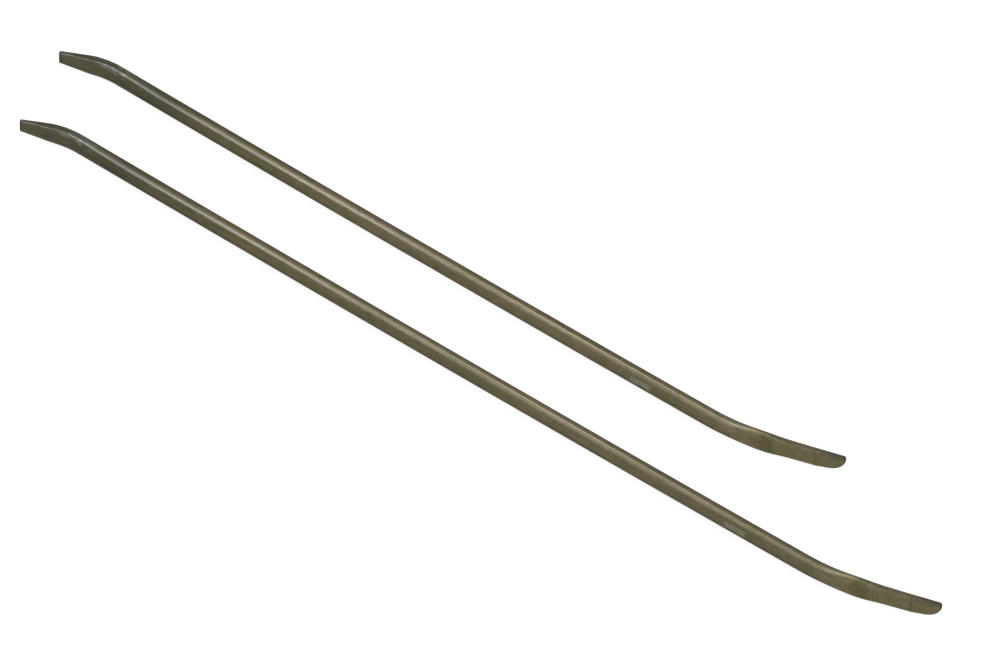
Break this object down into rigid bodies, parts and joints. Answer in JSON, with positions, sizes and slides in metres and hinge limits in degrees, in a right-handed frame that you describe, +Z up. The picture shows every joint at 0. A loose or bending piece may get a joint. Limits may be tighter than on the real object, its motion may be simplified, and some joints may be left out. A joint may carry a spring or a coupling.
{
  "type": "brick jointer",
  "caption": "Pair of long forged round-steel bars with a square chisel blade at one end and a round-tipped spoon blade at the other, each set off by a slight bend.",
  "frame": {"origin": "on the surface that the bars lie on, under the middle of the pair's bounding box", "axes": "+X along the bars towards their spoon ends, +Y from the long bar to the short bar, +Z up; the bends lie level in XY"},
  "size_m": [1.0222, 0.1338, 0.0216],
  "materials": {
    "forged_steel": "forged and drawn round steel with a dark bronze-olive oiled skin, satin to semi-gloss, with fine lengthwise draw marks, small dark specks and brighter ground blade faces"
  },
  "bodies": {
    "long_bar": {"long_jointer": "forged_steel"},
    "short_bar": {"short_jointer": "forged_steel"}
  },
  "joints": [
    {"name": "short_bar_lift", "type": "slide", "parent": "long_bar", "child": "short_bar", "axis": [0, 0, 1], "range_m": [0, 0.3]}
  ]
}
